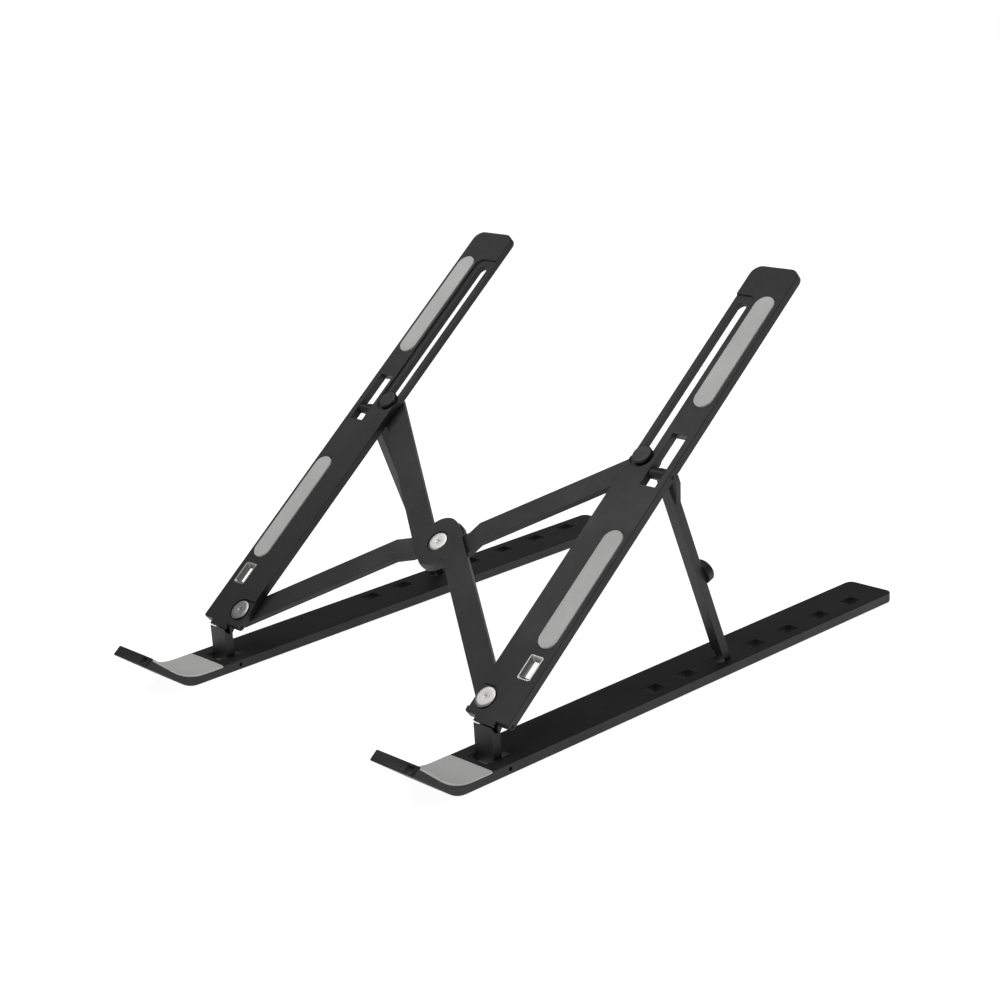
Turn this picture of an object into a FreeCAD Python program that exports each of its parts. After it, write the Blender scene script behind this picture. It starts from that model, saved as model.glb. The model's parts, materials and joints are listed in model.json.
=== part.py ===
import FreeCAD, Part
import math
import os
import re
import Sketcher

# Folding laptop stand. Two mirrored sides, each a base bar, a post, an arm and a strut, are joined
# by two crossing links that let the sides close together. Every piece of the right side is drawn in
# its own frame and placed; the left side is its mirror image in the plane X = 0.
# X runs to the right side, Y to the rear, Z up. The origin is on the ground, at the middle of the
# stand's outline.

SIZES = {
    # base bar: along Y, measured from the base pin, its top face at z = 0
    "bar_pitch": 155.5,          # between the middles of the two bars
    "bar_width": 22.0,
    "bar_thick": 4.2,
    "bar_rear": 217.0,           # base pin to rear end
    "bar_corner": 3.0,           # radius of the rear corners
    "bend_front": 25.2,          # base pin to the bend's upper corner
    "bend_under": 24.6,          # base pin to the bend's lower corner
    "bend_round": 22.0,          # inner radius of the bend, on the front pad
    "bend_outer": 12.0,
    "lip_reach": 15.7,           # from the bend to the lip's upper tip
    "lip_rise": 13.6,
    "tip_back": 3.5,             # the slanted end of the lip
    "tip_up": 2.8,
    "tip_round": 0.5,
    "lip_corner": 1.5,           # radius of the lip's corners
    "front_pad_rear": 8.4,       # base pin to the rear edge of the front pad
    "front_pad_thick": 0.9,
    "front_pad_short": 1.6,      # the front pad ends this far before the tip
    "notch_edge": 0.85,          # recess in the lip's end, this far from the bar's +X side
    "notch_wide": 3.6,
    "notch_high": 3.1,
    "notch_depth": 1.2,
    "hole_first": 80.2,          # base pin to the first strut hole
    "hole_first_step": 17.5,
    "hole_step": 20.0,
    "row_margin": 19.3,          # the row of holes ends this far before the rear end
    "hole_wide": 5.5,
    "hole_long": 7.7,
    "hole_out": 4.2,             # strut holes lie this far outside the bar's middle
    "post_slot_long": 11.6,
    "base_pin_radius": 0.75,
    "pin_recess": 1.4,           # pin ends lie this far inside the side faces
    "grip_wide": 16.0,
    "grip_proud": 0.3,
    "grip_seat": 0.6,
    "front_grip_start": 12.0,
    "front_grip_end": 72.0,
    "rear_grip_long": 9.5,
    "rear_grip_margin": 3.0,     # rear strip to the rear end
    "edge_round": 0.4,           # light rounding of the moulded edges
    # post: stands on the base pin, carries the arm pin
    "post_wide": 9.4,
    "post_play": 0.3,            # at each side, in the bar's slot and in the arm's pocket
    "post_thick": 3.8,
    "post_rise": 15.0,           # base pin to arm pin, upwards
    "post_lean": 2.0,            # base pin to arm pin, rearwards
    "knuckle_radius": 1.2,
    "crest_drop": 1.1,           # arm pin to the top of the post's front face
    "lid_play": 0.14,            # between the turning lid and the post
    "neck_low": 11.1,
    "neck_high": 13.1,
    "pin_play": 0.05,            # running clearance round a pin or rivet
    "arm_pin_radius": 0.6,
    # arm: along its own Y from the corner rivet, its top face at z = 0
    "arm_tilt": 38.7,
    "arm_width": 22.4,
    "arm_thick": 3.4,
    "arm_over": 14.5,            # end of the sunk track to the arm's upper end
    "arm_tip_round": 4.5,
    "arm_foot": 7.4,
    "ear_round": 1.2,
    "arm_pin_back": 6.2,
    "arm_pin_depth": 2.1,
    "lid_thick": 0.7,
    "lid_foot": 9.5,
    "apron_thick": 0.8,          # the lid's front edge turns down by apron_deep
    "apron_deep": 1.2,
    "post_pocket_end": 4.6,
    "slot_side": 0.3,            # clearance beside the knob's shaft
    "slot_play": 0.75,           # free slot length past the shaft at each end
    "rail_inner": 0.85,          # raised rail starts this far inside the arm's middle
    "rail_over": 6.14,           # the track runs this far past the closed knob
    "rail_round": 3.5,
    "recess_depth": 0.8,
    "hub_window_in": 0.9,
    "hub_window_out": 8.2,
    "hub_window_start": 95.9,
    "hub_window_end": 119.5,
    "groove_play": 0.3,
    "groove_start": 12.0,
    "groove_depth": 1.3,
    "pad_wide": 8.8,
    "pad_middle": 4.8,
    "pad_seat": 0.7,
    "pad_proud": 0.5,
    "pad_gap": 0.25,
    "pad_round": 0.35,
    "upper_pad_long": 53.0,
    "upper_pad_margin": 14.2,    # upper pad to the arm's upper end
    "lower_pad_start": 23.8,
    "lower_pad_end": 75.4,
    "catch_in": 1.9,
    "catch_out": 8.0,
    "catch_start": 10.4,
    "catch_end": 20.4,
    "catch_deep": 1.9,
    "catch_bevel": 1.1,
    # crossing links, and the rivets and knobs at their ends
    "link_pitch": 179.4,         # between the two end pivots of one link
    "rivet_in": 6.05,            # pivots and slot lie this far inside the arm's middle
    "link_width": 10.0,
    "link_thick": 2.3,
    "link_gap": 0.2,             # between an arm and a link, and between the two links
    "link_jog": 5.1,             # sideways step of each half at the middle
    "boss_long": 20.6,
    "boss_wide": 20.0,
    "boss_round": 8.0,
    "ramp_inner": 12.8,          # the under link's joggle, from its middle
    "ramp_outer": 18.8,
    "rivet_shank": 2.0,
    "rivet_head": 4.25,
    "rivet_cup_gap": 0.75,       # between a head and the cup it is sunk in
    "rivet_proud": 0.1,
    "rivet_foot": 3.4,
    "rivet_foot_thick": 0.8,
    "head_play": 0.1,
    "centre_head": 4.2,
    "centre_cup_gap": 0.4,
    "knob_radius": 4.1,
    "knob_proud": 0.95,
    "knob_cup_gap": 1.1,
    "knob_shaft": 2.3,
    "knob_round": 0.35,
    # strut: hangs on the hub in the arm's window and stands in a hole of the bar
    "hub_along": 102.5,
    "hub_depth": 2.2,
    "hub_radius": 2.1,
    "hub_play": 0.3,
    "strut_pin_radius": 0.8,
    "strut_pin_in": 1.6,
    "strut_wide": 5.0,
    "foot_play": 0.05,           # strut's outer face to the hole's outer wall
    "strut_thick": 3.8,
    "strut_set": 2.1,            # middle of the strut behind the hub's middle
    "strut_top": 1.0,
    "strut_gap": 1.15,           # strut's rear face to the hole's rear wall
    "strut_depth": 1.1,          # how deep the foot stands in the hole
    "foot_slim": 0.4,
    "foot_narrow": 1.0,
    "foot_long": 6.0,
    "shoulder_out": 3.1,
    "shoulder_slim": 1.2,
    "shoulder_top": 1.6,
    "shoulder_square": 5.0,
    "shoulder_long": 14.0,
    "stud_radius": 4.7,
    "stud_proud": 3.3,
    "stud_along": 47.7,
    "stud_round": 0.5,
}

doc = FreeCAD.newDocument("LaptopStand")
sheet = doc.addObject("Spreadsheet::Sheet", "Sizes")
for row, (alias, number) in enumerate(SIZES.items(), 1):
    sheet.set(f"A{row}", alias)
    sheet.set(f"B{row}", str(number))
    sheet.setAlias(f"B{row}", alias)
doc.recompute()


def bound(text):
    """Write the sheet's name before each size in an expression."""
    return re.sub(r"[a-z_]+", lambda m: f"Sizes.{m.group()}" if m.group() in SIZES else m.group(), text)


def value(text):
    """The number that an expression of sizes gives."""
    found = sheet.evalExpression(bound(text))
    return float(getattr(found, "Value", found))


# ---------------------------------------------------------------- lengths that follow from the sizes
ARM_Y = "(post_lean + cos(arm_tilt*1deg)*arm_pin_back - sin(arm_tilt*1deg)*arm_pin_depth)"
ARM_Z = ("(post_rise - bar_thick/2 + sin(arm_tilt*1deg)*arm_pin_back"
         " + cos(arm_tilt*1deg)*arm_pin_depth)")
HUB_Y = f"({ARM_Y} + cos(arm_tilt*1deg)*hub_along + sin(arm_tilt*1deg)*hub_depth)"
HUB_Z = f"({ARM_Z} + sin(arm_tilt*1deg)*hub_along - cos(arm_tilt*1deg)*hub_depth)"
USED_HOLE = "(hole_first + hole_first_step + hole_step)"
FOOT_Y = f"({USED_HOLE} + hole_long/2 - strut_gap - strut_thick/2)"
STRUT_SPAN = f"sqrt(({FOOT_Y} - {HUB_Y})^2 + {HUB_Z}^2)"
STRUT_LONG = f"(sqrt({STRUT_SPAN}^2 - strut_set^2) + strut_depth)"
KNOB_ALONG = "sqrt(link_pitch^2 - (bar_pitch - 2*rivet_in)^2)"
KNOB_CLOSED = "sqrt(link_pitch^2 - (arm_width - 2*rivet_in + 4*link_gap)^2)"
RAIL_END = f"({KNOB_CLOSED} + rail_over)"
ARM_TIP = f"({RAIL_END} + arm_over)"
STRUT_IN = "(hole_out + hole_wide/2 - foot_play - strut_wide)"
PAD_SLOPE = "atan(lip_rise/lip_reach)"
TIP_LONG = "sqrt(tip_back^2 + tip_up^2)"
LID_SWEEP = "(sqrt((lid_foot - arm_pin_back)^2 + arm_pin_depth^2) + lid_play)"
LINK_TOP = "(-arm_thick - link_gap)"
UNDER_TOP = "(-arm_thick - 2*link_gap - link_thick)"

TOP = "XY_Plane"
FRONT = "XZ_Plane"
SIDE = "YZ_Plane"
X_AXIS = FreeCAD.Vector(1, 0, 0)
Z_AXIS = FreeCAD.Vector(0, 0, 1)


# ---------------------------------------------------------------------------------- drawing helpers
def new_body(label):
    body = doc.addObject("PartDesign::Body", label)
    body.Label = label
    return body


def new_sketch(body, role, lift="0"):
    """An empty sketch on one of the body's own origin planes, moved along the plane's normal."""
    sketch = body.newObject("Sketcher::SketchObject", "Sketch")
    plane = next(item for item in body.Origin.OriginFeatures if item.Role == role)
    sketch.AttachmentSupport = [(plane, "")]
    sketch.MapMode = "FlatFace"
    sketch.setExpression("AttachmentOffset.Base.z", bound(lift))
    return sketch


def pin_point(sketch, edge, end, across, up):
    """Hold one point of a sketch at two distances from the sketch's origin."""
    for kind, text in (("DistanceX", across), ("DistanceY", up)):
        index = sketch.addConstraint(Sketcher.Constraint(kind, -1, 1, edge, end, value(text)))
        sketch.setExpression(f"Constraints[{index}]", bound(text))


def hold_radius(sketch, edge, text):
    index = sketch.addConstraint(Sketcher.Constraint("Radius", edge, value(text)))
    sketch.setExpression(f"Constraints[{index}]", bound(text))


def polygon(points):
    """A closed outline of straight edges through points given as pairs of expressions."""
    def draw(sketch):
        spots = [FreeCAD.Vector(value(across), value(up), 0) for across, up in points]
        count = len(spots)
        for index, spot in enumerate(spots):
            sketch.addGeometry(Part.LineSegment(spot, spots[(index + 1) % count]), False)
        for index, (across, up) in enumerate(points):
            sketch.addConstraint(Sketcher.Constraint("Coincident", index, 2, (index + 1) % count, 1))
            pin_point(sketch, index, 1, across, up)
    return draw


def rectangle(left, right, low, high):
    return polygon([(left, low), (right, low), (right, high), (left, high)])


def circle(across, up, radius):
    def draw(sketch):
        centre = FreeCAD.Vector(value(across), value(up), 0)
        sketch.addGeometry(Part.Circle(centre, Z_AXIS, value(radius)), False)
        pin_point(sketch, 0, 3, across, up)
        hold_radius(sketch, 0, radius)
    return draw


def stadium(across, low, high, radius):
    """A long outline along the sketch's second axis; low and high are the outline's two ends."""
    def draw(sketch):
        lower, upper = f"({low} + {radius})", f"({high} - {radius})"
        middle, size = value(across), value(radius)
        bottom = FreeCAD.Vector(middle, value(lower), 0)
        top = FreeCAD.Vector(middle, value(upper), 0)
        step = FreeCAD.Vector(size, 0, 0)
        sketch.addGeometry(Part.ArcOfCircle(Part.Circle(top, Z_AXIS, size), 0, math.pi), False)
        sketch.addGeometry(Part.LineSegment(top - step, bottom - step), False)
        sketch.addGeometry(Part.ArcOfCircle(Part.Circle(bottom, Z_AXIS, size), math.pi, 2*math.pi), False)
        sketch.addGeometry(Part.LineSegment(bottom + step, top + step), False)
        for edge in range(4):
            sketch.addConstraint(Sketcher.Constraint("Tangent", edge, 2, (edge + 1) % 4, 1))
        for edge, centre in ((0, upper), (2, lower)):
            pin_point(sketch, edge, 3, across, centre)
            hold_radius(sketch, edge, radius)
    return draw


def add_feature(body, kind, role, draw, length, lift, both_ways, flip):
    sketch = new_sketch(body, role, lift)
    draw(sketch)
    feature = body.newObject(f"PartDesign::{kind}", kind)
    feature.Profile = sketch
    feature.setExpression("Length", bound(length))
    feature.Reversed = flip
    if both_ways:
        feature.SideType = "Symmetric"
    return feature


def pad(body, role, draw, length, lift="0", both_ways=False, flip=False):
    """Grow a sketch into solid, along the plane's normal unless it is flipped."""
    return add_feature(body, "Pad", role, draw, length, lift, both_ways, flip)


def cut(body, role, draw, length, lift="0", both_ways=False, flip=False):
    """Cut a sketch out, against the plane's normal unless it is flipped."""
    doc.recompute()
    before = body.Shape.Volume
    feature = add_feature(body, "Pocket", role, draw, length, lift, both_ways, flip)
    doc.recompute()
    if body.Shape.Volume >= before:
        raise RuntimeError(f"a cut in {body.Label} removes nothing")
    return feature


def revolve(body, points):
    """Turn an outline in the XZ plane once round the body's Z axis."""
    sketch = new_sketch(body, FRONT)
    polygon(points)(sketch)
    turned = body.newObject("PartDesign::Revolution", "Revolution")
    turned.Profile = sketch
    turned.ReferenceAxis = (sketch, ["V_Axis"])
    turned.Angle = 360
    return turned


def edges_at(**places):
    """A test for edges whose ends all lie at the given x, y or z."""
    limits = {axis: value(text) for axis, text in places.items()}

    def test(edge):
        return all(abs(getattr(vertex.Point, axis) - limit) < 1e-4
                   for vertex in edge.Vertexes for axis, limit in limits.items())
    return test


def either(*tests):
    return lambda edge: any(test(edge) for test in tests)


def soften(body, size, test, kind="Fillet"):
    """Round or bevel the edges of the body's last feature that pass a test."""
    doc.recompute()
    base = body.Tip
    names = [f"Edge{index}" for index, edge in enumerate(base.Shape.Edges, 1) if test(edge)]
    if not names:
        raise RuntimeError(f"no edge to soften in {body.Label}")
    feature = body.newObject(f"PartDesign::{kind}", kind)
    feature.Base = (base, names)
    feature.setExpression("Radius" if kind == "Fillet" else "Size", bound(size))
    doc.recompute()
    if "Invalid" in feature.State:
        raise RuntimeError(f"softening by {size} fails in {body.Label}")
    return feature


# ---------------------------------------------------------------------------------------- base side
def lip_outline():
    """Top of the lip: the bend, the front pad's end and the tip."""
    bend = ("-bend_front", "0")
    pad_end = (f"-bend_front - lip_reach + front_pad_short*cos({PAD_SLOPE})",
               f"lip_rise - front_pad_short*sin({PAD_SLOPE})")
    tip = ("-bend_front - lip_reach", "lip_rise")
    return bend, pad_end, tip


def pad_floor():
    """Underside of the front pad, parallel to its top: rear, bend and end."""
    sink = "front_pad_thick"
    _bend, (end_along, end_up), _tip = lip_outline()
    return [("-front_pad_rear", f"-{sink}"),
            (f"-bend_front - {sink}*tan({PAD_SLOPE}/2)", f"-{sink}"),
            (f"{end_along} - {sink}*sin({PAD_SLOPE})", f"{end_up} - {sink}*cos({PAD_SLOPE})")]


def lip_end_point(share, depth):
    """A point at a share of the way down the lip's slanted end, sunk below its face by a depth."""
    return (f"-bend_front - lip_reach - ({share})*tip_back + ({depth})*tip_up/{TIP_LONG}",
            f"lip_rise - ({share})*tip_up - ({depth})*tip_back/{TIP_LONG}")


def make_base_bar(label, outer):
    """The bar; outer is the sign of the side that the row of holes is shifted to."""
    body = new_body(label)
    _bend, pad_end, tip = lip_outline()
    floor_rear, floor_bend, floor_end = pad_floor()
    under_tip = ("-bend_front - lip_reach - tip_back", "lip_rise - tip_up")
    under_bend = ("-bend_under", "-bar_thick")
    outline = [("bar_rear", "0"), ("-front_pad_rear", "0"), floor_rear, floor_bend, floor_end, pad_end,
               tip, under_tip, under_bend, ("bar_rear", "-bar_thick")]
    pad(body, SIDE, polygon(outline), "bar_width", both_ways=True)
    for (along, up), radius in ((floor_bend, "bend_round + front_pad_thick"), (under_bend, "bend_outer")):
        soften(body, radius, edges_at(y=along, z=up))
    soften(body, "lip_corner", lip_corner_edge)
    for along, up in (tip, under_tip):
        soften(body, "tip_round", edges_at(y=along, z=up))
    rear_corners = [edges_at(y="bar_rear", x=f"{side}bar_width/2") for side in ("", "-")]
    soften(body, "bar_corner", either(*rear_corners))
    soften(body, "edge_round", long_top_edges)
    cut(body, TOP, rectangle("-post_wide/2 - post_play", "post_wide/2 + post_play", "-post_slot_long/2",
                             "post_slot_long/2"), "2*bar_thick", both_ways=True)
    for middle in ["hole_first"] + [f"hole_first + hole_first_step + {step}*hole_step"
                                    for step in range(hole_row_count())]:
        cut(body, TOP, rectangle(f"{outer}hole_out - hole_wide/2", f"{outer}hole_out + hole_wide/2",
                                 f"{middle} - hole_long/2", f"{middle} + hole_long/2"),
            "2*bar_thick", both_ways=True)
    cut(body, SIDE, circle("0", "-bar_thick/2", "base_pin_radius"), "2*bar_width", both_ways=True)
    for start, end in (FRONT_GRIP, REAR_GRIP):
        cut(body, TOP, rectangle("-grip_wide/2", "grip_wide/2", start, end), "grip_seat",
            lift="-bar_thick", flip=True)
    above, below = f"0.5 - notch_high/(2*{TIP_LONG})", f"0.5 + notch_high/(2*{TIP_LONG})"
    cut(body, SIDE, polygon([lip_end_point(above, "-notch_depth"), lip_end_point(above, "notch_depth"),
                             lip_end_point(below, "notch_depth"), lip_end_point(below, "-notch_depth")]),
        "notch_wide", lift="bar_width/2 - notch_edge")
    return body


FRONT_GRIP = ("front_grip_start", "front_grip_end")
REAR_GRIP = ("bar_rear - rear_grip_margin - rear_grip_long", "bar_rear - rear_grip_margin")


def lip_corner_edge(edge):
    """The two short edges at the sides of the lip's slanted end."""
    ends = [edge.Vertexes[0].Point, edge.Vertexes[-1].Point]
    front = value("-bend_front - lip_reach")
    return abs(ends[0].x - ends[1].x) < 1e-4 and all(end.y < front + 1e-4 for end in ends)


def hole_row_count():
    """Holes in the evenly spaced row, as many as the bar's row length takes."""
    row = value("bar_rear - row_margin - hole_first - hole_first_step")
    return int(row / value("hole_step") + 1e-6) + 1


def long_top_edges(edge):
    """The bar's long upper edges behind the front pad, with the round rear corners between them."""
    return all(abs(vertex.Point.z) < 1e-4 and vertex.Point.y > value("-front_pad_rear") - 1e-4
               for vertex in edge.Vertexes) and not edges_at(y="-front_pad_rear")(edge)


def make_front_pad():
    body = new_body("right_front_pad")
    bend, pad_end, _tip = lip_outline()
    floor_rear, floor_bend, floor_end = pad_floor()
    outline = [("-front_pad_rear", "0"), floor_rear, floor_bend, floor_end, pad_end, bend]
    pad(body, SIDE, polygon(outline), "bar_width", both_ways=True)
    soften(body, "bend_round", edges_at(y=bend[0], z=bend[1]))
    soften(body, "bend_round + front_pad_thick", edges_at(y=floor_bend[0], z=floor_bend[1]))
    return body


def make_grip(label, start, end):
    body = new_body(label)
    pad(body, TOP, rectangle("-grip_wide/2", "grip_wide/2", start, end), "grip_seat + grip_proud",
        lift="-bar_thick - grip_proud")
    return body


def make_cross_pin(label, radius, left, right, along, up):
    """A plain steel pin along X."""
    body = new_body(label)
    pad(body, SIDE, circle(along, up, radius), f"{right} - ({left})", lift=left)
    return body


# --------------------------------------------------------------------------------------------- post
def make_post():
    """The riser; its frame starts at the base pin."""
    body = new_body("right_post")
    half = "post_thick/2"
    pad(body, SIDE, polygon([(f"-{half}", "0"), (half, "0"), (half, "neck_low"),
                             ("post_lean - knuckle_radius", "neck_low"),
                             ("post_lean - knuckle_radius", "post_rise - crest_drop"),
                             (f"-{half}", "post_rise - crest_drop")]),
        "post_wide", both_ways=True)
    pad(body, SIDE, circle("0", "0", half), "post_wide", both_ways=True)
    cut(body, SIDE, circle("post_lean", "post_rise", LID_SWEEP), "2*post_wide", both_ways=True)
    pad(body, SIDE, polygon([("post_lean - knuckle_radius", "neck_low - post_thick/2"),
                             (half, "neck_low - post_thick/2"), (half, "neck_low"),
                             ("post_lean + knuckle_radius", "neck_high"),
                             ("post_lean + knuckle_radius", "post_rise"),
                             ("post_lean - knuckle_radius", "post_rise")]), "post_wide", both_ways=True)
    pad(body, SIDE, circle("post_lean", "post_rise", "knuckle_radius"), "post_wide", both_ways=True)
    cut(body, SIDE, circle("0", "0", "base_pin_radius + pin_play"), "2*post_wide", both_ways=True)
    cut(body, SIDE, circle("post_lean", "post_rise", "arm_pin_radius + pin_play"), "2*post_wide",
        both_ways=True)
    return body


# ---------------------------------------------------------------------------------------------- arm
def make_arm():
    body = new_body("right_arm")
    half = "arm_width/2"
    pad(body, TOP, rectangle(f"-{half}", half, "-arm_foot", ARM_TIP), "arm_thick", flip=True)
    for end, radius in ((ARM_TIP, "arm_tip_round"), ("-arm_foot", "ear_round")):
        soften(body, radius, either(edges_at(x=half, y=end), edges_at(x=f"-{half}", y=end)))
    soften(body, "edge_round", edges_at(z="0"))
    lid_half = "(post_wide + post_play)/2"
    pad(body, TOP, rectangle(f"-{lid_half}", lid_half, "-lid_foot", "-arm_foot + edge_round + lid_thick"),
        "lid_thick", flip=True)
    # pocket for the post's head
    cut(body, TOP, rectangle("-post_wide/2 - post_play", "post_wide/2 + post_play",
                             "-lid_foot - lid_thick", "-post_pocket_end"), "arm_thick",
        lift="-arm_thick - lid_thick", flip=True)
    pad(body, TOP, rectangle(f"-{lid_half}", lid_half, "-lid_foot", "-lid_foot + apron_thick"), "apron_deep",
        flip=True)
    # sunk track for the slider knob, with the slot in it
    cut(body, TOP, rectangle("-arm_width", "-rail_inner", KNOB_ALONG, RAIL_END), "recess_depth")
    soften(body, "rail_round", sunk_corner)
    cut(body, TOP, circle("-rivet_in", KNOB_ALONG, "knob_radius + knob_cup_gap"), "recess_depth")
    cut(body, TOP, stadium("-rivet_in", f"{KNOB_ALONG} - knob_shaft - slot_play",
                           f"{KNOB_CLOSED} + knob_shaft + slot_play", "(knob_shaft + slot_side)"),
        "4*arm_thick", both_ways=True)
    # sunk cup for the corner rivet
    cup = "(rivet_head + rivet_cup_gap)"
    cut(body, TOP, rectangle("-arm_width", "-rivet_in", f"-{cup}", cup), "recess_depth")
    cut(body, TOP, circle("-rivet_in", "0", cup), "recess_depth")
    cut(body, TOP, circle("-rivet_in", "0", "rivet_shank"), "4*arm_thick", both_ways=True)
    # windows
    cut(body, TOP, rectangle("hub_window_in", "hub_window_out", "hub_window_start", "hub_window_end"),
        "4*arm_thick", both_ways=True)
    cut(body, TOP, rectangle("catch_in", "catch_out", "catch_start", "catch_end"), "4*arm_thick",
        both_ways=True)
    # groove under the arm for the stowed strut
    cut(body, TOP, rectangle(f"{STRUT_IN} - groove_play", f"{STRUT_IN} + strut_wide + groove_play",
                             "groove_start", "hub_window_start + groove_depth"),
        "groove_depth", lift="-arm_thick", flip=True)
    # seats of the two pads
    for start, end in PAD_ENDS.values():
        cut(body, TOP, stadium("pad_middle", f"{start} - pad_gap", f"{end} + pad_gap",
                               "(pad_wide/2 + pad_gap)"), "pad_seat")
    # cross holes for the pins
    cut(body, SIDE, circle("-arm_pin_back", "-arm_pin_depth", "arm_pin_radius"), "2*arm_width",
        both_ways=True)
    cut(body, SIDE, circle("hub_along", "-hub_depth", "strut_pin_radius"), f"{half} + strut_pin_in + arm_width",
        lift="-strut_pin_in", flip=True)
    return body


def sunk_corner(edge):
    """The upper outer corner of the sunk track."""
    return edges_at(x="-rail_inner", y=RAIL_END)(edge)


PAD_ENDS = {"right_upper_pad": (f"{ARM_TIP} - upper_pad_margin - upper_pad_long",
                                f"{ARM_TIP} - upper_pad_margin"),
            "right_lower_pad": ("lower_pad_start", "lower_pad_end")}


def make_arm_pad(label):
    body = new_body(label)
    start, end = PAD_ENDS[label]
    pad(body, TOP, stadium("pad_middle", start, end, "pad_wide/2"), "pad_seat + pad_proud",
        lift="-pad_seat")
    soften(body, "pad_round", edges_at(z="pad_proud"))
    return body


def make_catch_frame():
    """Bevelled liner of the small window: a funnel that narrows downwards."""
    body = new_body("right_catch_frame")
    pad(body, TOP, rectangle("catch_in", "catch_out", "catch_start", "catch_end"), "catch_deep", flip=True)
    cut(body, TOP, rectangle("catch_in + catch_bevel", "catch_out - catch_bevel",
                             "catch_start + catch_bevel", "catch_end - catch_bevel"),
        "4*catch_deep", both_ways=True)
    inner = either(*[edges_at(z="0", **{axis: place}) for axis, place in (
        ("x", "catch_in + catch_bevel"), ("x", "catch_out - catch_bevel"),
        ("y", "catch_start + catch_bevel"), ("y", "catch_end - catch_bevel"))])
    soften(body, "catch_bevel - edge_round/2", inner, kind="Chamfer")
    return body


# -------------------------------------------------------------------------------------------- strut
def make_strut():
    """The prop; its frame starts at the hub, and it hangs down along -Z."""
    body = new_body("right_strut")
    front, rear = "(strut_set - strut_thick/2)", "(strut_set + strut_thick/2)"
    inner, outer = STRUT_IN, f"({STRUT_IN} + strut_wide)"
    middle = f"({STRUT_IN} + strut_wide/2)"
    pad(body, SIDE, polygon([(front, f"-{STRUT_LONG} + foot_long"), (rear, f"-{STRUT_LONG} + foot_long"),
                             (rear, "0"), ("strut_set", "strut_top"), (front, "strut_top")]),
        "strut_wide", lift=inner)
    pad(body, SIDE, polygon([(f"{front} + foot_slim", f"-{STRUT_LONG}"), (f"{rear} - foot_slim",
                             f"-{STRUT_LONG}"), (rear, f"-{STRUT_LONG} + foot_long"),
                             (front, f"-{STRUT_LONG} + foot_long")]),
        "strut_wide - foot_narrow", lift=f"{inner} + foot_narrow")
    pad(body, SIDE, circle("0", "0", "hub_radius"), "hub_window_out - hub_window_in - 2*hub_play",
        lift="hub_window_in + hub_play")
    pad(body, FRONT, polygon([(middle, "-shoulder_top"), (f"{outer} + shoulder_out", "-shoulder_top"),
                              (f"{outer} + shoulder_out", "-shoulder_square"),
                              (outer, "-shoulder_long"), (middle, "-shoulder_long")]),
        "strut_thick - shoulder_slim", lift=f"-{rear}", )
    cut(body, SIDE, circle("0", "0", "strut_pin_radius + pin_play"), "4*arm_width", both_ways=True)
    return body


def make_strut_stud():
    body = new_body("right_strut_stud")
    rear = "(strut_set + strut_thick/2)"
    pad(body, FRONT, circle(f"{STRUT_IN} + strut_wide/2", "-stud_along", "stud_radius"), "stud_proud",
        lift=f"-{rear} - stud_proud")
    soften(body, "stud_round", edges_at(y=f"{rear} + stud_proud"))
    return body


# -------------------------------------------------------------------------- rivets, knobs and links
def turned_part(label, head, head_top, head_floor, shank, foot_top):
    """A headed pin along Z with a flat foot under what it holds."""
    body = new_body(label)
    foot_low = f"({foot_top} - rivet_foot_thick)"
    revolve(body, [("0", head_top), (head, head_top), (head, head_floor), (shank, head_floor),
                   (shank, foot_top), ("rivet_foot", foot_top), ("rivet_foot", foot_low), ("0", foot_low)])
    soften(body, "knob_round", edges_at(z=head_top))
    return body


def make_link(label, jog, top, floor, end_shank, start_shank, centre_shank):
    """A link along its own X, middle at the origin; its halves step apart by jog on each side."""
    body = new_body(label)
    deep = f"{top} - {floor}"
    reach, half = "link_pitch/2", "link_width/2"
    pad(body, TOP, rectangle("-boss_long/2", "boss_long/2", "-boss_wide/2", "boss_wide/2"), deep,
        lift=floor)
    corners = either(*[edges_at(x=f"{a}boss_long/2", y=f"{b}boss_wide/2") for a in ("", "-") for b in ("", "-")])
    soften(body, "boss_round", corners)
    for end, side in (("", jog), ("-", f"-({jog})")):
        pad(body, TOP, polygon([("0", f"{side} - {half}"), (f"{end}{reach}", f"-{half}"),
                                (f"{end}{reach}", half), ("0", f"{side} + {half}")]), deep, lift=floor)
        pad(body, TOP, circle(f"{end}{reach}", "0", half), deep, lift=floor)
    for place, shank in ((reach, end_shank), (f"-{reach}", start_shank), ("0", centre_shank)):
        cut(body, TOP, circle(place, "0", shank), "4*arm_thick", lift="0")
    return body


def make_over_link():
    body = make_link("cross_link_over", "link_jog", LINK_TOP, f"({LINK_TOP} - link_thick)",
                     "rivet_shank + pin_play", "knob_shaft", "rivet_shank")
    cut(body, TOP, circle("0", "0", "centre_head + centre_cup_gap"), "recess_depth", lift=LINK_TOP)
    return body


def make_under_link():
    """The link that is joggled down at its middle to pass under the other."""
    low = f"({UNDER_TOP} - link_thick)"
    body = make_link("cross_link_under", "-link_jog", LINK_TOP, low, "knob_shaft",
                     "rivet_shank + pin_play", "rivet_shank + pin_play")
    cut(body, FRONT, polygon([("-ramp_outer", LINK_TOP), ("-ramp_inner", UNDER_TOP), ("ramp_inner", UNDER_TOP),
                              ("ramp_outer", LINK_TOP), ("ramp_outer", "0"), ("-ramp_outer", "0")]),
        "4*boss_wide", both_ways=True)
    for end in ("", "-"):
        ends = [(f"{end}(ramp_outer + link_gap)", f"{LINK_TOP} - link_thick"), (f"{end}(ramp_inner + link_gap)", low),
                (f"{end}(ramp_inner + link_gap)", f"{low} - link_thick"),
                (f"{end}link_pitch", f"{low} - link_thick"), (f"{end}link_pitch", f"{LINK_TOP} - link_thick")]
        cut(body, FRONT, polygon(ends), "4*boss_wide", both_ways=True)
    return body


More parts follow.
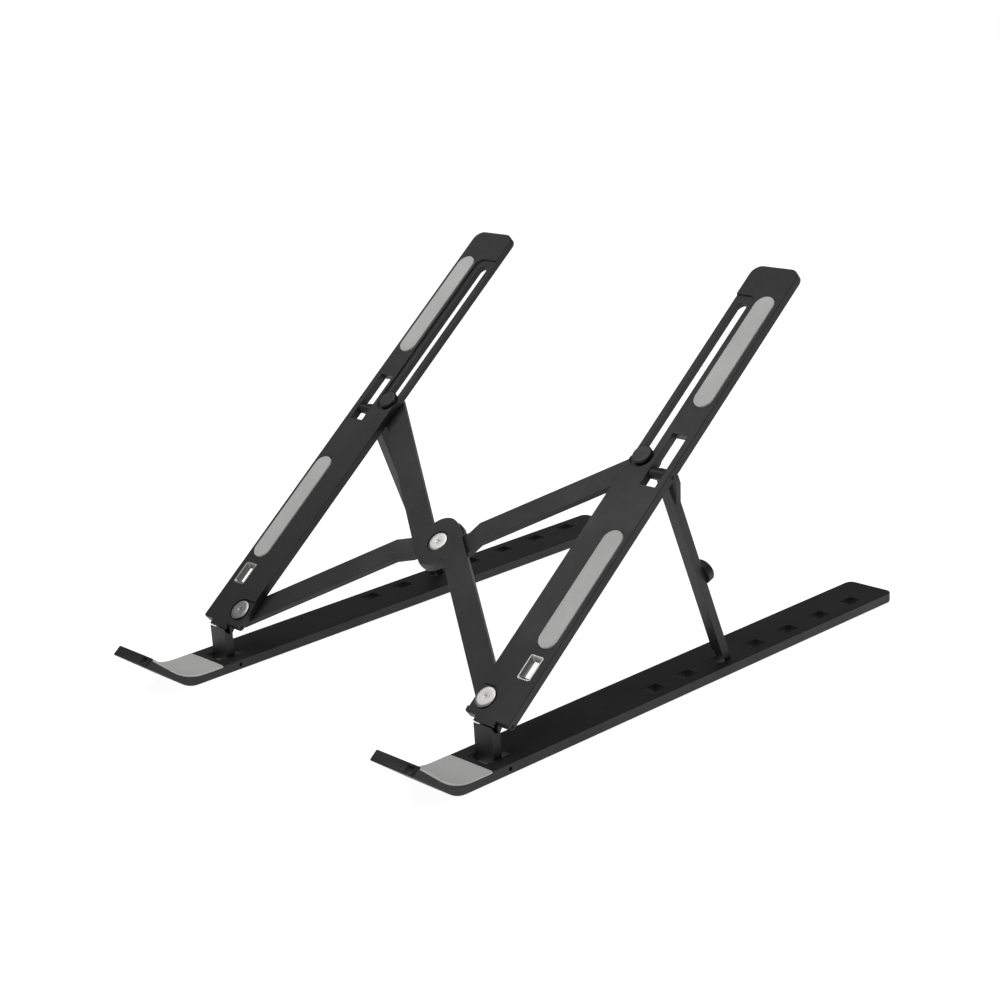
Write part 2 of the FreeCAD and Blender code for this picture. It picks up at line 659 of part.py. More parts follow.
# ------------------------------------------------------------------------------------------- places
tilt = value("arm_tilt")
side_x = value("bar_pitch") / 2
frame_y = (value("bend_front + lip_reach + tip_back") - value("bar_rear")) / 2
frame_z = value("bar_thick + grip_proud")
strut_angle = math.degrees(math.atan2(value(f"{FOOT_Y} - {HUB_Y}"), value(HUB_Z))
                           - math.asin(value("strut_set") / value(STRUT_SPAN)))
link_angle = math.degrees(math.atan2(value(KNOB_ALONG), value("bar_pitch - 2*rivet_in")))

base_place = FreeCAD.Placement(FreeCAD.Vector(side_x, frame_y, frame_z), FreeCAD.Rotation())
left_base_place = FreeCAD.Placement(FreeCAD.Vector(-side_x, frame_y, frame_z), FreeCAD.Rotation())
post_place = base_place * FreeCAD.Placement(FreeCAD.Vector(0, 0, value("-bar_thick/2")), FreeCAD.Rotation())
arm_turn = FreeCAD.Rotation(X_AXIS, tilt)
arm_place = base_place * FreeCAD.Placement(FreeCAD.Vector(0, value(ARM_Y), value(ARM_Z)), arm_turn)
strut_place = base_place * FreeCAD.Placement(FreeCAD.Vector(0, value(HUB_Y), value(HUB_Z)),
                                             FreeCAD.Rotation(X_AXIS, strut_angle))


def on_arm(across, along):
    """A place on the arm's top face, turned like the arm."""
    return arm_place * FreeCAD.Placement(FreeCAD.Vector(value(across), value(along), 0), FreeCAD.Rotation())


def on_link_middle(angle):
    middle = on_arm("-bar_pitch/2", f"{KNOB_ALONG}/2")
    return middle * FreeCAD.Placement(FreeCAD.Vector(), FreeCAD.Rotation(Z_AXIS, angle))


HEAD_FLOOR = "-recess_depth"
RIVET_FOOT_TOP = f"({LINK_TOP} - link_thick - head_play)"
RIGHT_PIECES = [
    (make_front_pad(), base_place),
    (make_grip("right_front_grip", *FRONT_GRIP), base_place),
    (make_grip("right_rear_grip", *REAR_GRIP), base_place),
    (make_cross_pin("right_base_pin", "base_pin_radius", "-bar_width/2 + pin_recess",
                    "bar_width/2 - pin_recess", "0", "-bar_thick/2"), base_place),
    (make_post(), post_place),
    (make_arm(), arm_place),
    (make_cross_pin("right_arm_pin", "arm_pin_radius", "-arm_width/2 + pin_recess",
                    "arm_width/2 - pin_recess", "-arm_pin_back", "-arm_pin_depth"), arm_place),
    (make_cross_pin("right_strut_pin", "strut_pin_radius", "-strut_pin_in",
                    "arm_width/2 - pin_recess", "hub_along", "-hub_depth"), arm_place),
    (make_arm_pad("right_upper_pad"), arm_place),
    (make_arm_pad("right_lower_pad"), arm_place),
    (make_catch_frame(), arm_place),
    (turned_part("right_corner_rivet", "rivet_head", "rivet_proud", HEAD_FLOOR, "rivet_shank",
                 RIVET_FOOT_TOP), on_arm("-rivet_in", "0")),
    (turned_part("right_slider_knob", "knob_radius", "knob_proud", f"{HEAD_FLOOR} + head_play", "knob_shaft",
                 f"({LINK_TOP} - link_thick)"), on_arm("-rivet_in", KNOB_ALONG)),
    (make_strut(), strut_place),
    (make_strut_stud(), strut_place),
]
PLAIN_PIECES = [
    (make_base_bar("right_base_bar", ""), base_place),
    (make_base_bar("left_base_bar", "-"), left_base_place),
    (make_over_link(), on_link_middle(-link_angle)),
    (make_under_link(), on_link_middle(link_angle)),
    (turned_part("centre_rivet", "centre_head", f"{LINK_TOP} - head_play/2", f"({LINK_TOP} - recess_depth)",
                 "rivet_shank", f"({UNDER_TOP} - link_thick - head_play)"), on_link_middle(0)),
]

sub_parts = []
for body, place in RIGHT_PIECES + PLAIN_PIECES:
    body.Placement = place
    sub_parts.append(body)
for body, _place in RIGHT_PIECES:
    mirrored = doc.addObject("Part::Mirroring", body.Label.replace("right", "left"))
    mirrored.Label = body.Label.replace("right", "left")
    mirrored.Source = body
    mirrored.Normal = X_AXIS
    sub_parts.append(mirrored)
doc.recompute()

for item in doc.Objects:
    if "Invalid" in item.State or "Error" in item.State:
        raise RuntimeError(f"{item.Label} failed: {item.State}")
for piece in sub_parts:
    if piece.Shape.isNull() or not piece.Shape.isValid() or len(piece.Shape.Solids) != 1:
        raise RuntimeError(f"{piece.Label} is not one valid solid")

os.makedirs("parts", exist_ok=True)
for piece in sub_parts:
    piece.Shape.exportStep(f"parts/{piece.Label}.step")
print(f"{len(sub_parts)} sub-parts; strut leans {strut_angle:.3f}, links turn {link_angle:.3f} degrees")
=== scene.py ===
import json
import math

import bmesh
import bpy
from bpy.props import FloatProperty, FloatVectorProperty, PointerProperty
from mathutils import Matrix, Vector


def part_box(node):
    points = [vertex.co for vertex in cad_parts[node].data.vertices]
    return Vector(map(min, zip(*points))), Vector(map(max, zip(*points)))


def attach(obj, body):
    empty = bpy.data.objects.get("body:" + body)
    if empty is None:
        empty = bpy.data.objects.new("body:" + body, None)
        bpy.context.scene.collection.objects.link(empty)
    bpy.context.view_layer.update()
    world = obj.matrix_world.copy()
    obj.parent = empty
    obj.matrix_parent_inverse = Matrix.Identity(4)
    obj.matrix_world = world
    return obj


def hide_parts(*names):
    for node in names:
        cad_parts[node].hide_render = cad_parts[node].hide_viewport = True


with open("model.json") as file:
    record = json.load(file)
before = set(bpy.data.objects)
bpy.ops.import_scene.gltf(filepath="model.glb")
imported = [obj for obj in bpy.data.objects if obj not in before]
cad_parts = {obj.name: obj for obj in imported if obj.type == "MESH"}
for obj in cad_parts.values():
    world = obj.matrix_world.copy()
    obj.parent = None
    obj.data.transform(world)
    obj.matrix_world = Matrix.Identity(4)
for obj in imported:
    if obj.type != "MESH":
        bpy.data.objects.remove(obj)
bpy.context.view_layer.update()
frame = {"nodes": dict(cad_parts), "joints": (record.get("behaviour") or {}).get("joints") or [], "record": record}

bl_info = {
    "name": "Folding laptop stand",
    "version": (1, 0, 0),
    "blender": (4, 5, 0),
    "location": "3D View > Sidebar > Laptop Stand",
    "description": "Finishes the pieces of a folding laptop stand round its packed frame",
    "category": "Object",
}

MM = 0.001
RECORD = frame["record"]
BODY_OF = {node: body for body, nodes in RECORD["behaviour"]["bodies"].items() for node in nodes}
SLOT_OF = {part["node"]: part["material_slot"] for part in RECORD["subparts"]}
SIDES = ("right", "left")
WELD = 0.002 * MM
FLAT = math.radians(0.5)
SHARP = math.radians(40)
SMOOTH = math.radians(50)
CORNER_STEPS = 16
TURN_STEPS = 72
LIP_END = 6 * MM                 # the bars' first few millimetres keep their crisp edges
POST_SHARE = 0.15                # the posts' crest is thin, so it takes little of the rounding
PIN_COVER = 1.33 * MM            # the arm and strut pins reach this much further, flush with the arms

# The arms' frame: X across, ARM_ALONG up the slope, ARM_UP out of their top faces.
ACROSS = Vector((1, 0, 0))
ARM_UP = Vector(next(joint["axis"] for joint in frame["joints"] if joint["name"] == "centre_turn"))
ARM_ALONG = ARM_UP.cross(ACROSS)


# ---------------------------------------------------------------------------------------- settings
class StandSizes(bpy.types.PropertyGroup):
    """Sizes of the finish that a user would change."""
    edge_radius: FloatProperty(name="Edge radius", description="Rounding of the moulded edges",
                               default=0.14 * MM, precision=5, unit="LENGTH")
    metal_edge: FloatProperty(name="Metal edge", description="Rounding of the rivets' rims",
                              default=0.3 * MM, precision=5, unit="LENGTH")
    pad_rim: FloatProperty(name="Pad rim", description="Width of the raised rim round each arm pad",
                           default=0.55 * MM, precision=5, unit="LENGTH")
    pad_dip: FloatProperty(name="Pad dip", description="How far a pad's face lies below its rim",
                           default=0.16 * MM, precision=5, unit="LENGTH")
    pad_crown: FloatProperty(name="Pad crown", description="How far a front pad swells at its middle",
                             default=0.15 * MM, precision=5, unit="LENGTH")
    catch_slope: FloatProperty(name="Catch slope",
                               description="Width of the catch frame's sloping walls",
                               default=1.35 * MM, precision=5, unit="LENGTH")
    catch_rim: FloatProperty(name="Catch rim", description="Width of the catch frame's flat rim",
                             default=0.3 * MM, precision=5, unit="LENGTH")
    rib_step: FloatProperty(name="Rib step", description="Distance between ribs on a grip strip",
                            default=1.6 * MM, precision=5, unit="LENGTH")
    rib_height: FloatProperty(name="Rib height", description="Height of the ribs on a grip strip",
                              default=0.3 * MM, precision=5, unit="LENGTH")


class StandColours(bpy.types.PropertyGroup):
    """Colours and gloss of the stand's materials."""
    plastic: FloatVectorProperty(name="Plastic", description="Colour of the moulded pieces",
                                 default=(0.010, 0.010, 0.0104), subtype="COLOR", min=0, max=1)
    plastic_worn: FloatVectorProperty(name="Worn plastic",
                                      description="Colour of the pieces' worn edges",
                                      default=(0.035, 0.035, 0.036), subtype="COLOR", min=0, max=1)
    knob: FloatVectorProperty(name="Knob", description="Colour of the slider knobs and strut studs",
                              default=(0.006, 0.006, 0.0065), subtype="COLOR", min=0, max=1)
    silicone: FloatVectorProperty(name="Silicone", description="Colour of the grey pads",
                                  default=(0.475, 0.478, 0.47), subtype="COLOR", min=0, max=1)
    rubber: FloatVectorProperty(name="Rubber", description="Colour of the grip strips",
                                default=(0.012, 0.012, 0.012), subtype="COLOR", min=0, max=1)
    bright: FloatVectorProperty(name="Bright metal", description="Colour of rivets and catch frames",
                                default=(0.44, 0.436, 0.425), subtype="COLOR", min=0, max=1)
    steel: FloatVectorProperty(name="Steel", description="Colour of the cross pins",
                               default=(0.02, 0.02, 0.021), subtype="COLOR", min=0, max=1)


def sizes():
    return bpy.context.scene.stand_sizes


def colours():
    return bpy.context.scene.stand_colours


# ------------------------------------------------------------------------------------ shader groups
def new_group(name, inputs, outputs):
    """A shader node group with its named sockets, and its two end nodes."""
    tree = bpy.data.node_groups.new(name, "ShaderNodeTree")
    for label, kind, default in inputs:
        socket = tree.interface.new_socket(label, in_out="INPUT", socket_type=kind)
        if default is not None:
            socket.default_value = default
    for label, kind in outputs:
        tree.interface.new_socket(label, in_out="OUTPUT", socket_type=kind)
    return tree, tree.nodes.new("NodeGroupInput"), tree.nodes.new("NodeGroupOutput")


def math_node(tree, operation, first, second):
    """A Math node of two links or numbers; its output socket."""
    node = tree.nodes.new("ShaderNodeMath")
    node.operation = operation
    for socket, source in zip(node.inputs, (first, second)):
        if isinstance(source, (int, float)):
            socket.default_value = source
        else:
            tree.links.new(source, socket)
    return node.outputs[0]


def noise_node(tree, vector, scale, detail=2.0, roughness=0.5):
    node = tree.nodes.new("ShaderNodeTexNoise")
    node.inputs["Detail"].default_value = detail
    node.inputs["Roughness"].default_value = roughness
    tree.links.new(vector, node.inputs["Vector"])
    if isinstance(scale, (int, float)):
        node.inputs["Scale"].default_value = scale
    else:
        tree.links.new(scale, node.inputs["Scale"])
    return node.outputs["Fac"]


def range_node(tree, source, low_in, high_in, low_out, high_out):
    node = tree.nodes.new("ShaderNodeMapRange")
    limits = {"From Min": low_in, "From Max": high_in, "To Min": low_out, "To Max": high_out}
    for label, number in limits.items():
        node.inputs[label].default_value = number
    tree.links.new(source, node.inputs["Value"])
    return node.outputs["Result"]


def mix_colour(tree, factor, first, second):
    """A colour mix of two colours or links, driven by a link."""
    node = tree.nodes.new("ShaderNodeMix")
    node.data_type = "RGBA"
    tree.links.new(factor, node.inputs["Factor"])
    for label, source in (("A", first), ("B", second)):
        socket = next(item for item in node.inputs if item.name == label and item.type == "RGBA")
        if hasattr(source, "is_linked"):
            tree.links.new(source, socket)
        else:
            socket.default_value = (*source, 1.0)
    return next(item for item in node.outputs if item.type == "RGBA")


def make_grain_group():
    """Spark-eroded moulding grain: a fine height, and a slow uneven tone."""
    tree, start, end = new_group(
        "Moulded grain",
        [("Vector", "NodeSocketVector", None), ("Grains per metre", "NodeSocketFloat", 4200.0)],
        [("Height", "NodeSocketFloat"), ("Tone", "NodeSocketFloat")])
    fine = noise_node(tree, start.outputs["Vector"], start.outputs["Grains per metre"], 3.0, 0.6)
    coarse_scale = math_node(tree, "MULTIPLY", start.outputs["Grains per metre"], 0.35)
    coarse = noise_node(tree, start.outputs["Vector"], coarse_scale, 1.0)
    height = math_node(tree, "ADD", math_node(tree, "MULTIPLY", fine, 0.7),
                       math_node(tree, "MULTIPLY", coarse, 0.3))
    tree.links.new(height, end.inputs["Height"])
    slow_scale = math_node(tree, "MULTIPLY", start.outputs["Grains per metre"], 0.012)
    tone = noise_node(tree, start.outputs["Vector"], slow_scale, 4.0, 0.65)
    tree.links.new(range_node(tree, tone, 0.3, 0.7, 0.0, 1.0), end.inputs["Tone"])
    return tree


def make_wear_group():
    """Patchy rubbing along softened edges, from the piece's own edge_wear attribute."""
    tree, start, end = new_group(
        "Edge wear", [("Vector", "NodeSocketVector", None), ("Amount", "NodeSocketFloat", 0.6)],
        [("Mask", "NodeSocketFloat")])
    edge = tree.nodes.new("ShaderNodeAttribute")
    edge.attribute_name = "edge_wear"
    patches = noise_node(tree, start.outputs["Vector"], 380.0, 4.0, 0.6)
    spots = range_node(tree, patches, 0.35, 0.65, 0.25, 1.0)
    rubbed = math_node(tree, "MULTIPLY", edge.outputs["Fac"], spots)
    tree.links.new(math_node(tree, "MULTIPLY", rubbed, start.outputs["Amount"]), end.inputs["Mask"])
    return tree


def make_scuff_group():
    """Faint handling marks: thin stretched streaks and soft smudges."""
    tree, start, end = new_group(
        "Handling marks", [("Vector", "NodeSocketVector", None), ("Amount", "NodeSocketFloat", 0.3)],
        [("Mask", "NodeSocketFloat")])
    stretch = tree.nodes.new("ShaderNodeMapping")
    stretch.inputs["Rotation"].default_value = (0.6, 0.2, 0.9)
    stretch.inputs["Scale"].default_value = (1.0, 14.0, 14.0)
    tree.links.new(start.outputs["Vector"], stretch.inputs["Vector"])
    thin = noise_node(tree, stretch.outputs["Vector"], 90.0, 3.0)
    streaks = range_node(tree, thin, 0.62, 0.72, 0.0, 1.0)
    soft = noise_node(tree, start.outputs["Vector"], 45.0, 2.0)
    smudges = range_node(tree, soft, 0.45, 0.7, 0.0, 0.6)
    both = math_node(tree, "MAXIMUM", streaks, smudges)
    tree.links.new(math_node(tree, "MULTIPLY", both, start.outputs["Amount"]), end.inputs["Mask"])
    return tree


def group_node(tree, group, vector, **values):
    node = tree.nodes.new("ShaderNodeGroup")
    node.node_tree = bpy.data.node_groups[group]
    tree.links.new(vector, node.inputs["Vector"])
    for label, number in values.items():
        node.inputs[label.replace("_", " ").capitalize()].default_value = number
    return node


# ----------------------------------------------------------------------------------------- materials
def new_material(name):
    """A material with its Principled shader and Object coordinates."""
    material = bpy.data.materials.new(f"{name}_finish")
    material.use_nodes = True
    tree = material.node_tree
    shader = tree.nodes["Principled BSDF"]
    coordinates = tree.nodes.new("ShaderNodeTexCoord")
    return material, tree, shader, coordinates.outputs["Object"]


def add_bump(tree, shader, height, distance, strength):
    bump = tree.nodes.new("ShaderNodeBump")
    bump.inputs["Strength"].default_value = strength
    bump.inputs["Distance"].default_value = distance
    tree.links.new(height, bump.inputs["Height"])
    tree.links.new(bump.outputs["Normal"], shader.inputs["Normal"])


def moulded_material(name, colour, worn, gloss_low, gloss_high, grains, depth):
    """Black moulded nylon: fine grain, uneven gloss, rubbed edges and faint handling marks."""
    material, tree, shader, where = new_material(name)
    grain = group_node(tree, "Moulded grain", where)
    grain.inputs["Grains per metre"].default_value = grains
    wear = group_node(tree, "Edge wear", where, amount=0.55)
    marks = group_node(tree, "Handling marks", where, amount=0.35)
    lighter = [channel * 1.35 for channel in colour]
    toned = mix_colour(tree, grain.outputs["Tone"], colour, lighter)
    rubbed = mix_colour(tree, wear.outputs["Mask"], toned, worn)
    tree.links.new(rubbed, shader.inputs["Base Color"])
    gloss = range_node(tree, grain.outputs["Tone"], 0.0, 1.0, gloss_high, gloss_low)
    polished = math_node(tree, "MULTIPLY", wear.outputs["Mask"], 0.14)
    touched = math_node(tree, "MULTIPLY", marks.outputs["Mask"], 0.12)
    gloss = math_node(tree, "SUBTRACT", math_node(tree, "SUBTRACT", gloss, polished), touched)
    tree.links.new(gloss, shader.inputs["Roughness"])
    shader.inputs["Specular IOR Level"].default_value = 0.35
    add_bump(tree, shader, grain.outputs["Height"], depth, 0.6)
    return material


def silicone_material():
    """Soft grey silicone: matte, a little cloudy, with a very fine skin."""
    material, tree, shader, where = new_material("grey_silicone")
    base = colours().silicone
    grain = group_node(tree, "Moulded grain", where)
    grain.inputs["Grains per metre"].default_value = 2600.0
    marks = group_node(tree, "Handling marks", where, amount=0.5)
    cloudy = mix_colour(tree, grain.outputs["Tone"], [channel * 0.93 for channel in base],
                        [min(1.0, channel * 1.08) for channel in base])
    dusty = mix_colour(tree, marks.outputs["Mask"], cloudy, [channel * 0.86 for channel in base])
    tree.links.new(dusty, shader.inputs["Base Color"])
    gloss = range_node(tree, grain.outputs["Tone"], 0.0, 1.0, 0.62, 0.5)
    tree.links.new(gloss, shader.inputs["Roughness"])
    shader.inputs["Sheen Weight"].default_value = 0.12
    add_bump(tree, shader, grain.outputs["Height"], 0.012 * MM, 0.5)
    return material


def rubber_material():
    material, tree, shader, where = new_material("black_rubber")
    grain = group_node(tree, "Moulded grain", where)
    base = colours().rubber
    toned = mix_colour(tree, grain.outputs["Tone"], base, [channel * 2 for channel in base])
    tree.links.new(toned, shader.inputs["Base Color"])
    shader.inputs["Roughness"].default_value = 0.8
    add_bump(tree, shader, grain.outputs["Height"], 0.02 * MM, 0.6)
    return material


def metal_material(name, colour, gloss_low, gloss_high, rings_per_metre):
    """Bare metal: fine rings that follow the turn_radius attribute, on a piece that has one."""
    material, tree, shader, where = new_material(name)
    radius = tree.nodes.new("ShaderNodeAttribute")
    radius.attribute_name = "turn_radius"
    ring = tree.nodes.new("ShaderNodeTexNoise")
    ring.noise_dimensions = "1D"
    ring.inputs["Detail"].default_value = 3.0
    ring.inputs["Scale"].default_value = rings_per_metre
    tree.links.new(radius.outputs["Fac"], ring.inputs["W"])
    marks = group_node(tree, "Handling marks", where, amount=0.8)
    dulled = mix_colour(tree, marks.outputs["Mask"], colour, [channel * 0.78 for channel in colour])
    tree.links.new(dulled, shader.inputs["Base Color"])
    shader.inputs["Metallic"].default_value = 1.0
    gloss = range_node(tree, ring.outputs["Fac"], 0.3, 0.7, gloss_low, gloss_high)
    touched = math_node(tree, "MULTIPLY", marks.outputs["Mask"], 0.1)
    tree.links.new(math_node(tree, "ADD", gloss, touched), shader.inputs["Roughness"])
    add_bump(tree, shader, ring.outputs["Fac"], 0.01 * MM, 0.35)
    return material


# -------------------------------------------------------------------------------------- mesh helpers
def finish_piece(name, mesh, node, weighted=True):
    """Turn a bmesh into a piece that stands for a CAD node, rides its body and takes its slot."""
    data = bpy.data.meshes.new(name)
    mesh.to_mesh(data)
    mesh.free()
    data.materials.append(bpy.data.materials[f"{SLOT_OF[node]}_finish"])
    data.polygons.foreach_set("use_smooth", [True] * len(data.polygons))
    data.set_sharp_from_angle(angle=SMOOTH)
    piece = bpy.data.objects.new(name, data)
    bpy.context.scene.collection.objects.link(piece)
    if weighted:
        shading = piece.modifiers.new("Flat faces stay flat", "WEIGHTED_NORMAL")
        shading.keep_sharp = True
    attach(piece, BODY_OF[node])
    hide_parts(node)
    return piece


def merged_copy(node):
    """A CAD node's own triangles, welded and gathered into flat faces."""
    mesh = bmesh.new()
    mesh.from_mesh(frame["nodes"][node].data)
    bmesh.ops.remove_doubles(mesh, verts=mesh.verts, dist=WELD)
    bmesh.ops.dissolve_limit(mesh, angle_limit=FLAT, verts=mesh.verts, edges=mesh.edges)
    return mesh


def soften_edges(mesh, radius, front=None):
    """Round every sharp edge, or those behind the front Y, and mark the new faces for wear."""
    worn = mesh.faces.layers.float.new("edge_wear")
    sharp = [edge for edge in mesh.edges if edge.is_manifold and edge.calc_face_angle(0.0) > SHARP
             and (front is None or min(vertex.co.y for vertex in edge.verts) > front)]
    made = bmesh.ops.bevel(mesh, geom=sharp, offset=radius, segments=3, profile=0.5,
                           affect="EDGES", clamp_overlap=False)
    for face in made["faces"]:
        face[worn] = 1.0


def moulded_piece(name, node, radius, front=None):
    """A moulded piece: the CAD shape with softened edges."""
    mesh = merged_copy(node)
    soften_edges(mesh, radius, front)
    return finish_piece(name, mesh, node)


def axes_matrix(up, along):
    """Columns ACROSS, along and up."""
    return Matrix((ACROSS, along, up)).transposed().to_4x4()


def local_box(node, axes):
    """A node's lowest and highest corners, measured along the given axes."""
    turned = axes.inverted()
    spots = [turned @ vertex.co for vertex in frame["nodes"][node].data.vertices]
    low = Vector([min(spot[i] for spot in spots) for i in range(3)])
    high = Vector([max(spot[i] for spot in spots) for i in range(3)])
    return low, high


def seat(node, axes):
    """A node's corners and half size along the axes, and a matrix with its middle at X = Y = 0."""
    low, high = local_box(node, axes)
    middle, half = (low + high) / 2, (high - low) / 2
    return low, high, half, axes @ Matrix.Translation((middle.x, middle.y, 0))


def ring(half_x, half_y, corner, height):
    """Points round a rectangle with round corners, level at one height."""
    points = []
    for quarter, (sign_x, sign_y) in enumerate(((1, 1), (-1, 1), (-1, -1), (1, -1))):
        centre = Vector((sign_x * (half_x - corner), sign_y * (half_y - corner), height))
        for step in range(CORNER_STEPS + 1):
            angle = math.pi / 2 * (quarter + step / CORNER_STEPS)
            points.append(centre + corner * Vector((math.cos(angle), math.sin(angle), 0)))
    return points


def lofted(rings, place, hollow=False):
    """A closed skin through rings of equal length; capped at both ends, or joined end to end."""
    mesh = bmesh.new()
    loops = [[mesh.verts.new(place @ point) for point in points] for points in rings]
    pairs = list(zip(loops, loops[1:]))
    if hollow:
        pairs.append((loops[-1], loops[0]))
    for lower, upper in pairs:
        for index in range(len(lower)):
            following = (index + 1) % len(lower)
            mesh.faces.new((lower[index], lower[following], upper[following], upper[index]))
    if not hollow:
        mesh.faces.new(reversed(loops[0]))
        mesh.faces.new(loops[-1])
    bmesh.ops.remove_doubles(mesh, verts=mesh.verts, dist=WELD)
    bmesh.ops.recalc_face_normals(mesh, faces=mesh.faces)
    return mesh


def rounded(points, radius, steps=5):
    """A profile of (radius, height) points with its inner corners rounded off."""
    smooth = [points[0]]
    for before, corner, after in zip(points, points[1:], points[2:]):
        corner = Vector(corner)
        to_before = Vector(before) - corner
        to_after = Vector(after) - corner
        cut = min(radius, 0.45 * to_before.length, 0.45 * to_after.length)
        first = corner + to_before.normalized() * cut
        last = corner + to_after.normalized() * cut
        for step in range(steps + 1):
            t = step / steps
            smooth.append(tuple((1 - t) ** 2 * first + 2 * t * (1 - t) * corner + t ** 2 * last))
    smooth.append(points[-1])
    return smooth


def lathe(profile, place):
    """Turn a profile of (radius, height) points, from top centre to bottom centre, round Z."""
    mesh = bmesh.new()
    turn_radius = mesh.verts.layers.float.new("turn_radius")
    loops = []
    for radius, height in profile:
        count = 1 if radius < WELD else TURN_STEPS
        loop = []
        for step in range(count):
            angle = 2 * math.pi * step / count
            spot = Vector((radius * math.cos(angle), radius * math.sin(angle), height))
            vertex = mesh.verts.new(place @ spot)
            vertex[turn_radius] = radius + height
            loop.append(vertex)
        loops.append(loop)
    for upper, lower in zip(loops, loops[1:]):
        for step in range(TURN_STEPS):
            following = (step + 1) % TURN_STEPS
            corners = [upper[step % len(upper)], lower[step % len(lower)],
                       lower[following % len(lower)], upper[following % len(upper)]]
            corners = list(dict.fromkeys(corners))
            if len(corners) > 2:
                mesh.faces.new(corners)
    bmesh.ops.recalc_face_normals(mesh, faces=mesh.faces)
    return mesh


def flat_normal(node):
    """The direction that most of a node's surface faces, pointing rearwards."""
    areas = {}
    for face in frame["nodes"][node].data.polygons:
        key = tuple(round(value, 3) for value in face.normal)
        areas[key] = areas.get(key, 0.0) + face.area
    best = Vector(max(areas, key=areas.get)).normalized()
    return best if best.y > 0 else -best


def plain_mesh(piece):
    """Bake an object's modifiers into a plain mesh and drop them."""
    bpy.context.view_layer.update()
    graph = bpy.context.evaluated_depsgraph_get()
    piece.data = bpy.data.meshes.new_from_object(piece.evaluated_get(graph))
    piece.modifiers.clear()


# ----------------------------------------------------------------------------------- ribs by nodes
def make_rib_tree():
    """Geometry nodes that lay a row of equal ribs on a strip."""
    tree = bpy.data.node_groups.new("Rib row", "GeometryNodeTree")
    tree.interface.new_socket("Geometry", in_out="INPUT", socket_type="NodeSocketGeometry")
    for label, kind in (("First rib", "NodeSocketVector"), ("Step", "NodeSocketVector"),
                        ("Ribs", "NodeSocketInt"), ("Rib size", "NodeSocketVector"),
                        ("Material", "NodeSocketMaterial")):
        tree.interface.new_socket(label, in_out="INPUT", socket_type=kind)
    tree.interface.new_socket("Geometry", in_out="OUTPUT", socket_type="NodeSocketGeometry")
    start, end = tree.nodes.new("NodeGroupInput"), tree.nodes.new("NodeGroupOutput")
    row = tree.nodes.new("GeometryNodeMeshLine")
    row.mode = "OFFSET"
    tree.links.new(start.outputs["Ribs"], row.inputs["Count"])
    tree.links.new(start.outputs["First rib"], row.inputs["Start Location"])
    tree.links.new(start.outputs["Step"], row.inputs["Offset"])
    rib = tree.nodes.new("GeometryNodeMeshCube")
    tree.links.new(start.outputs["Rib size"], rib.inputs["Size"])
    copies = tree.nodes.new("GeometryNodeInstanceOnPoints")
    tree.links.new(row.outputs["Mesh"], copies.inputs["Points"])
    tree.links.new(rib.outputs["Mesh"], copies.inputs["Instance"])
    real = tree.nodes.new("GeometryNodeRealizeInstances")
    tree.links.new(copies.outputs["Instances"], real.inputs["Geometry"])
    both = tree.nodes.new("GeometryNodeJoinGeometry")
    tree.links.new(real.outputs["Geometry"], both.inputs["Geometry"])
    tree.links.new(start.outputs["Geometry"], both.inputs["Geometry"])
    painted = tree.nodes.new("GeometryNodeSetMaterial")
    tree.links.new(both.outputs["Geometry"], painted.inputs["Geometry"])
    tree.links.new(start.outputs["Material"], painted.inputs["Material"])
    tree.links.new(painted.outputs["Geometry"], end.inputs["Geometry"])
    return tree


def add_nodes(piece, tree, **values):
    """Give a piece a geometry nodes modifier, its inputs set by their sockets' identifiers."""
    modifier = piece.modifiers.new(tree.name, "NODES")
    modifier.node_group = tree
    for item in tree.interface.items_tree:
        label = item.name.lower().replace(" ", "_")
        if item.in_out == "INPUT" and label in values:
            modifier[item.identifier] = values[label]


# ----------------------------------------------------------------------------------------- operators
class STAND_OT_finishes(bpy.types.Operator):
    """Make the shared shader groups and every material of the stand"""
    bl_idname = "stand.make_finishes"
    bl_label = "Finishes"

    def execute(self, context):
        make_grain_group()
        make_wear_group()
        make_scuff_group()
        look = colours()
        moulded_material("black_plastic", look.plastic, look.plastic_worn,
                         gloss_low=0.42, gloss_high=0.54, grains=4200.0, depth=0.02 * MM)
        moulded_material("knob_plastic", look.knob, look.plastic_worn,
                         gloss_low=0.34, gloss_high=0.44, grains=6000.0, depth=0.01 * MM)
        silicone_material()
        rubber_material()
        metal_material("bright_metal", look.bright, 0.24, 0.34, 9000.0)
        metal_material("pin_steel", look.steel, 0.3, 0.42, 9000.0)
        return {"FINISHED"}


class STAND_OT_bars(bpy.types.Operator):
    """Finish the two base bars"""
    bl_idname = "stand.make_bars"
    bl_label = "Base bars"

    def execute(self, context):
        for side in SIDES:
            node = f"{side}_base_bar"
            lip_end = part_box(node)[0].y + LIP_END
            moulded_piece(f"{side}_bar_moulding", node, sizes().edge_radius, lip_end)
        return {"FINISHED"}


class STAND_OT_arms(bpy.types.Operator):
    """Finish the two arms"""
    bl_idname = "stand.make_arms"
    bl_label = "Arms"

    def execute(self, context):
        for side in SIDES:
            moulded_piece(f"{side}_arm_moulding", f"{side}_arm", sizes().edge_radius)
        return {"FINISHED"}


class STAND_OT_supports(bpy.types.Operator):
    """Finish the posts and struts"""
    bl_idname = "stand.make_supports"
    bl_label = "Posts and struts"

    def execute(self, context):
        for side in SIDES:
            moulded_piece(f"{side}_post_moulding", f"{side}_post",
                          POST_SHARE * sizes().edge_radius)
            moulded_piece(f"{side}_strut_moulding", f"{side}_strut", sizes().edge_radius)
        return {"FINISHED"}


